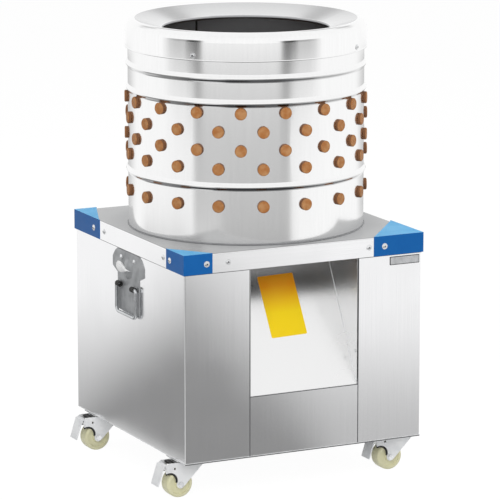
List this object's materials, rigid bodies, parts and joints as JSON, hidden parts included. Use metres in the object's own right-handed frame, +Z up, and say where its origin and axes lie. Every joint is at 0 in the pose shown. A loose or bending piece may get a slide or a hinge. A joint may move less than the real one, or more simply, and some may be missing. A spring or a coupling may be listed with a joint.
{
  "type": "poultry plucker",
  "caption": "Drum poultry plucker: a rubber-fingered drum with a spinning feather plate, on a wheeled steel cabinet with a sloping feather chute.",
  "frame": {"origin": "on the floor under the drum axis, midway between the castors' swivel axes", "axes": "+Z up along the drum axis, -Y out of the feather chute, +X to the right seen from the front"},
  "size_m": [0.6, 0.575, 0.955],
  "materials": {
    "stainless_panel": "brushed stainless sheet",
    "drum_steel": "polished stainless sheet",
    "frame_steel": "welded steel tube and plate",
    "finger_rubber": "matt tan natural rubber",
    "paddle_rubber": "matt black rubber",
    "machined_steel": "turned steel",
    "bearing_iron": "painted cast housing",
    "pulley_iron": "turned cast iron",
    "belt_rubber": "matt black belt",
    "motor_paint": "semi-gloss enamel",
    "switch_plastic": "moulded housing",
    "start_green": "moulded cap",
    "stop_red": "moulded cap",
    "handle_steel": "stamped zinc-plated steel",
    "bail_chrome": "bright plated wire",
    "guard_blue": "blue coated sheet",
    "screw_steel": "bright domed heads",
    "castor_zinc": "bright zinc plate",
    "castor_nylon": "ivory nylon"
  },
  "bodies": {
    "cabinet": {"top_plate": "stainless_panel", "left_panel": "stainless_panel", "right_panel": "stainless_panel", "front_panel": "stainless_panel", "back_panel": "stainless_panel", "chute": "stainless_panel", "drum_shell": "drum_steel", "drum_rim": "drum_steel", "base_frame": "frame_steel", "bearing_bridge": "frame_steel", "motor_plate": "frame_steel", "wall_fingers": "finger_rubber", "upper_bearing": "bearing_iron", "lower_bearing": "bearing_iron", "drive_belt": "belt_rubber", "motor_body": "motor_paint", "motor_fan_cover": "motor_paint", "motor_terminal_box": "motor_paint", "switch_box": "switch_plastic", "cable_gland": "switch_plastic", "left_handle_plate": "handle_steel", "right_handle_plate": "handle_steel", "front_left_guard": "guard_blue", "front_right_guard": "guard_blue", "back_left_guard": "guard_blue", "back_right_guard": "guard_blue", "panel_screws": "screw_steel", "front_left_castor_plate": "castor_zinc", "front_right_castor_plate": "castor_zinc", "back_left_castor_plate": "castor_zinc", "back_right_castor_plate": "castor_zinc"},
    "plate_rotor": {"feather_plate": "drum_steel", "plate_fingers": "finger_rubber", "sweeper_paddles": "paddle_rubber", "plate_hub": "machined_steel", "plate_nut": "machined_steel", "drive_shaft": "machined_steel", "driven_pulley": "pulley_iron"},
    "motor_rotor": {"motor_shaft": "machined_steel", "motor_pulley": "pulley_iron"},
    "left_bail": {"left_handle_bail": "bail_chrome"},
    "right_bail": {"right_handle_bail": "bail_chrome"},
    "start_cap": {"start_button": "start_green"},
    "stop_cap": {"stop_button": "stop_red"},
    "front_left_swivel": {"front_left_fork": "castor_zinc", "front_left_axle": "castor_zinc"},
    "front_left_roller": {"front_left_wheel": "castor_nylon"},
    "front_left_brake": {"front_left_pedal": "castor_zinc"},
    "front_right_swivel": {"front_right_fork": "castor_zinc", "front_right_axle": "castor_zinc"},
    "front_right_roller": {"front_right_wheel": "castor_nylon"},
    "front_right_brake": {"front_right_pedal": "castor_zinc"},
    "back_left_swivel": {"back_left_fork": "castor_zinc", "back_left_axle": "castor_zinc"},
    "back_left_roller": {"back_left_wheel": "castor_nylon"},
    "back_left_brake": {"back_left_pedal": "castor_zinc"},
    "back_right_swivel": {"back_right_fork": "castor_zinc", "back_right_axle": "castor_zinc"},
    "back_right_roller": {"back_right_wheel": "castor_nylon"},
    "back_right_brake": {"back_right_pedal": "castor_zinc"}
  },
  "joints": [
    {"name": "plate_spin", "type": "hinge", "parent": "cabinet", "child": "plate_rotor", "pos_m": [0, 0, 0.5], "axis": [0, 0, 1], "continuous": true},
    {"name": "motor_spin", "type": "hinge", "parent": "cabinet", "child": "motor_rotor", "pos_m": [0, 0.175, 0.4], "axis": [0, 0, 1], "continuous": true},
    {"name": "left_handle_swing", "type": "hinge", "parent": "cabinet", "child": "left_bail", "pos_m": [-0.2805, 0, 0.403], "axis": [0, 1, 0], "range_deg": [0, 90]},
    {"name": "right_handle_swing", "type": "hinge", "parent": "cabinet", "child": "right_bail", "pos_m": [0.2805, 0, 0.403], "axis": [0, -1, 0], "range_deg": [0, 90]},
    {"name": "start_press", "type": "slide", "parent": "cabinet", "child": "start_cap", "axis": [0, -1, 0], "range_m": [0, 0.004], "stiffness_N_per_m": 300},
    {"name": "stop_press", "type": "slide", "parent": "cabinet", "child": "stop_cap", "axis": [0, -1, 0], "range_m": [0, 0.004], "stiffness_N_per_m": 300},
    {"name": "front_left_swivel_turn", "type": "hinge", "parent": "cabinet", "child": "front_left_swivel", "pos_m": [-0.246, -0.21, 0.075], "axis": [0, 0, 1], "continuous": true},
    {"name": "front_left_wheel_roll", "type": "hinge", "parent": "front_left_swivel", "child": "front_left_roller", "pos_m": [-0.263, -0.21, 0.029], "axis": [0, 1, 0], "continuous": true},
    {"name": "front_left_pedal_lift", "type": "hinge", "parent": "front_left_swivel", "child": "front_left_brake", "pos_m": [-0.29, -0.21, 0.066], "axis": [0, 1, 0], "range_deg": [0, 25]},
    {"name": "front_right_swivel_turn", "type": "hinge", "parent": "cabinet", "child": "front_right_swivel", "pos_m": [0.246, -0.21, 0.075], "axis": [0, 0, 1], "continuous": true},
    {"name": "front_right_wheel_roll", "type": "hinge", "parent": "front_right_swivel", "child": "front_right_roller", "pos_m": [0.229, -0.21, 0.029], "axis": [0, 1, 0], "continuous": true},
    {"name": "front_right_pedal_lift", "type": "hinge", "parent": "front_right_swivel", "child": "front_right_brake", "pos_m": [0.202, -0.21, 0.066], "axis": [0, 1, 0], "range_deg": [0, 25]},
    {"name": "back_left_swivel_turn", "type": "hinge", "parent": "cabinet", "child": "back_left_swivel", "pos_m": [-0.246, 0.21, 0.075], "axis": [0, 0, 1], "continuous": true},
    {"name": "back_left_wheel_roll", "type": "hinge", "parent": "back_left_swivel", "child": "back_left_roller", "pos_m": [-0.263, 0.21, 0.029], "axis": [0, 1, 0], "continuous": true},
    {"name": "back_left_pedal_lift", "type": "hinge", "parent": "back_left_swivel", "child": "back_left_brake", "pos_m": [-0.29, 0.21, 0.066], "axis": [0, 1, 0], "range_deg": [0, 25]},
    {"name": "back_right_swivel_turn", "type": "hinge", "parent": "cabinet", "child": "back_right_swivel", "pos_m": [0.246, 0.21, 0.075], "axis": [0, 0, 1], "continuous": true},
    {"name": "back_right_wheel_roll", "type": "hinge", "parent": "back_right_swivel", "child": "back_right_roller", "pos_m": [0.229, 0.21, 0.029], "axis": [0, 1, 0], "continuous": true},
    {"name": "back_right_pedal_lift", "type": "hinge", "parent": "back_right_swivel", "child": "back_right_brake", "pos_m": [0.202, 0.21, 0.066], "axis": [0, 1, 0], "range_deg": [0, 25]}
  ],
  "couplings": [
    {"joint": "motor_spin", "follows": "plate_spin", "ratio": 3.9286}
  ]
}
